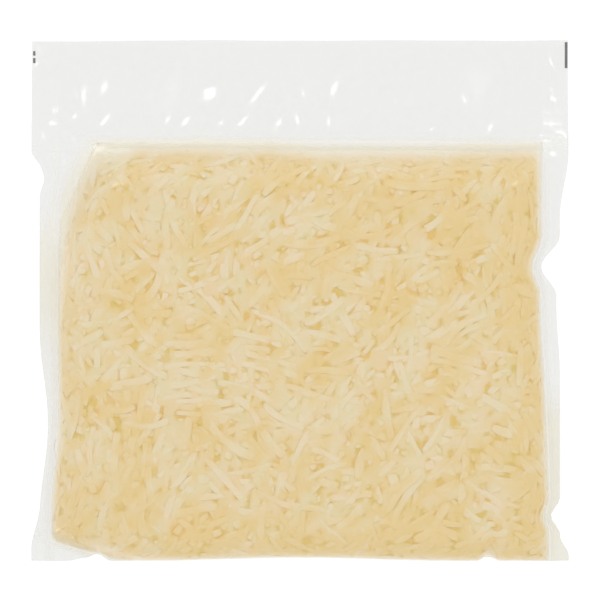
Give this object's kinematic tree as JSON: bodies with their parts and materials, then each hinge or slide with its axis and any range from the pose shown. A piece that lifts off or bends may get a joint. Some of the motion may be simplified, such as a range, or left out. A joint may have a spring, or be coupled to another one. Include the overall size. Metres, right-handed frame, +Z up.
{
  "type": "bag of shredded mozzarella cheese",
  "caption": "Clear heat-sealed vacuum bag of shredded mozzarella, lying flat: a filled pouch with side seals, a foot fold and an empty film header.",
  "frame": {"origin": "middle of the underside of the bounding box", "axes": "+X across the bag, +Y from the foot fold to the header, +Z up out of the upper face"},
  "size_m": [0.269, 0.261, 0.0362],
  "materials": {
    "clear_bag": "clear glossy film drawn tight over pale cream-yellow cheese shreds",
    "cheese_shreds": "soft, slightly translucent pale cream-yellow mozzarella",
    "printed_mark": "dark grey ink printed on the film"
  },
  "bodies": {
    "root": {"bag": "clear_bag"}
  },
  "joints": []
}
